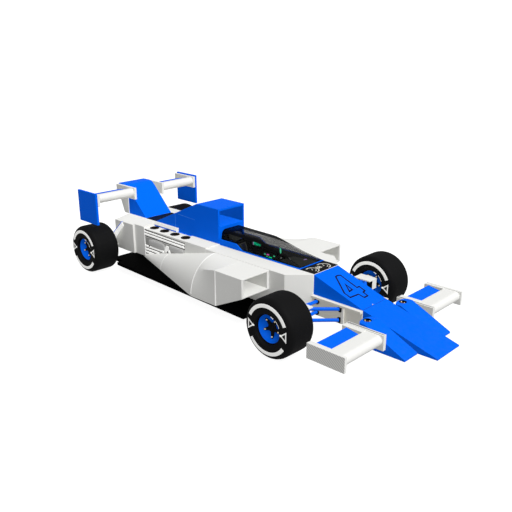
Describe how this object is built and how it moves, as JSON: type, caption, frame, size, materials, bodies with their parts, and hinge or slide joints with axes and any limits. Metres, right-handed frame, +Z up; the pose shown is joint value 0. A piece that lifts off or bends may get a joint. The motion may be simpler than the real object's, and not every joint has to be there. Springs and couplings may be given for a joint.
{
  "type": "racing car",
  "caption": "Open-wheel single-seat racing car with a tilting canopy, steered front wheels, turning wheels, front and rear wings, sidepods and an intake over the engine cover.",
  "frame": {"origin": "on the ground, in the middle of the car's length and width", "axes": "+X forward, +Y to the car's left, +Z up"},
  "size_m": [4.792, 1.994, 1.029],
  "materials": {
    "body_blue": "gloss paint on composite",
    "body_white": "gloss paint on composite",
    "floor_black": "matt composite",
    "cockpit_black": "satin",
    "arm_blue": "gloss paint on steel tube",
    "upright_white": "gloss paint on cast metal",
    "rim_blue": "gloss paint",
    "tyre_rubber": "smooth slick rubber",
    "exhaust_dark": "darkened by heat",
    "engine_metal": "cast",
    "canopy_glass": "tinted"
  },
  "bodies": {
    "chassis": {"tub": "body_white", "cockpit_rim": "body_blue", "dash_panel": "cockpit_black", "seat": "cockpit_black", "keel": "body_white", "nose_cone": "body_blue", "nose_tip": "body_blue", "front_wing_left": "body_white", "front_wing_right": "body_white", "front_flap_left": "body_blue", "front_flap_right": "body_blue", "front_endplate_left": "body_white", "front_endplate_right": "body_white", "rear_wing_left": "body_white", "rear_wing_right": "body_white", "rear_flap_left": "body_blue", "rear_flap_right": "body_blue", "rear_endplate_left": "body_blue", "rear_endplate_right": "body_blue", "wing_pylon": "body_blue", "pylon_fairing": "body_white", "engine_cover": "body_blue", "rear_body": "body_white", "exhaust_left": "exhaust_dark", "exhaust_right": "exhaust_dark", "engine": "engine_metal", "floor": "floor_black", "sidepod_left": "body_white", "sidepod_right": "body_white", "sidepod_inlet_left": "body_white", "sidepod_inlet_right": "body_white", "upper_wishbone_left": "arm_blue", "upper_wishbone_right": "arm_blue", "lower_wishbone_left": "arm_blue", "lower_wishbone_right": "arm_blue", "rear_upright_left": "upright_white", "rear_upright_right": "upright_white"},
    "steering_left": {"knuckle_left": "upright_white"},
    "steering_right": {"knuckle_right": "upright_white"},
    "wheel_front_left": {"tyre_front_left": "tyre_rubber", "rim_front_left": "rim_blue"},
    "wheel_front_right": {"tyre_front_right": "tyre_rubber", "rim_front_right": "rim_blue"},
    "wheel_rear_left": {"tyre_rear_left": "tyre_rubber", "rim_rear_left": "rim_blue"},
    "wheel_rear_right": {"tyre_rear_right": "tyre_rubber", "rim_rear_right": "rim_blue"},
    "driver_wheel": {"steering_wheel": "cockpit_black"},
    "canopy_lid": {"canopy": "canopy_glass"}
  },
  "joints": [
    {"name": "steer_left", "type": "hinge", "parent": "chassis", "child": "steering_left", "pos_m": [1.122, 0.545, 0.309], "axis": [0, 0, 1], "range_deg": [-18, 18]},
    {"name": "steer_right", "type": "hinge", "parent": "chassis", "child": "steering_right", "pos_m": [1.122, -0.545, 0.309], "axis": [0, 0, 1], "range_deg": [-18, 18]},
    {"name": "spin_front_left", "type": "hinge", "parent": "steering_left", "child": "wheel_front_left", "pos_m": [1.122, 0.802, 0.294], "axis": [0, 1, 0], "continuous": true},
    {"name": "spin_front_right", "type": "hinge", "parent": "steering_right", "child": "wheel_front_right", "pos_m": [1.122, -0.802, 0.294], "axis": [0, 1, 0], "continuous": true},
    {"name": "spin_rear_left", "type": "hinge", "parent": "chassis", "child": "wheel_rear_left", "pos_m": [-2.102, 0.694, 0.294], "axis": [0, 1, 0], "continuous": true},
    {"name": "spin_rear_right", "type": "hinge", "parent": "chassis", "child": "wheel_rear_right", "pos_m": [-2.102, -0.694, 0.294], "axis": [0, 1, 0], "continuous": true},
    {"name": "steering_turn", "type": "hinge", "parent": "chassis", "child": "driver_wheel", "pos_m": [0.395, 0, 0.52], "axis": [-0.9272, 0, 0.3746], "range_deg": [-181, 181]},
    {"name": "canopy_tilt", "type": "hinge", "parent": "chassis", "child": "canopy_lid", "pos_m": [0.834, 0, 0.6053], "axis": [0, 1, 0], "range_deg": [0, 50]}
  ],
  "couplings": [
    {"joint": "steer_right", "follows": "steer_left", "ratio": 1},
    {"joint": "steering_turn", "follows": "steer_left", "ratio": 10}
  ]
}
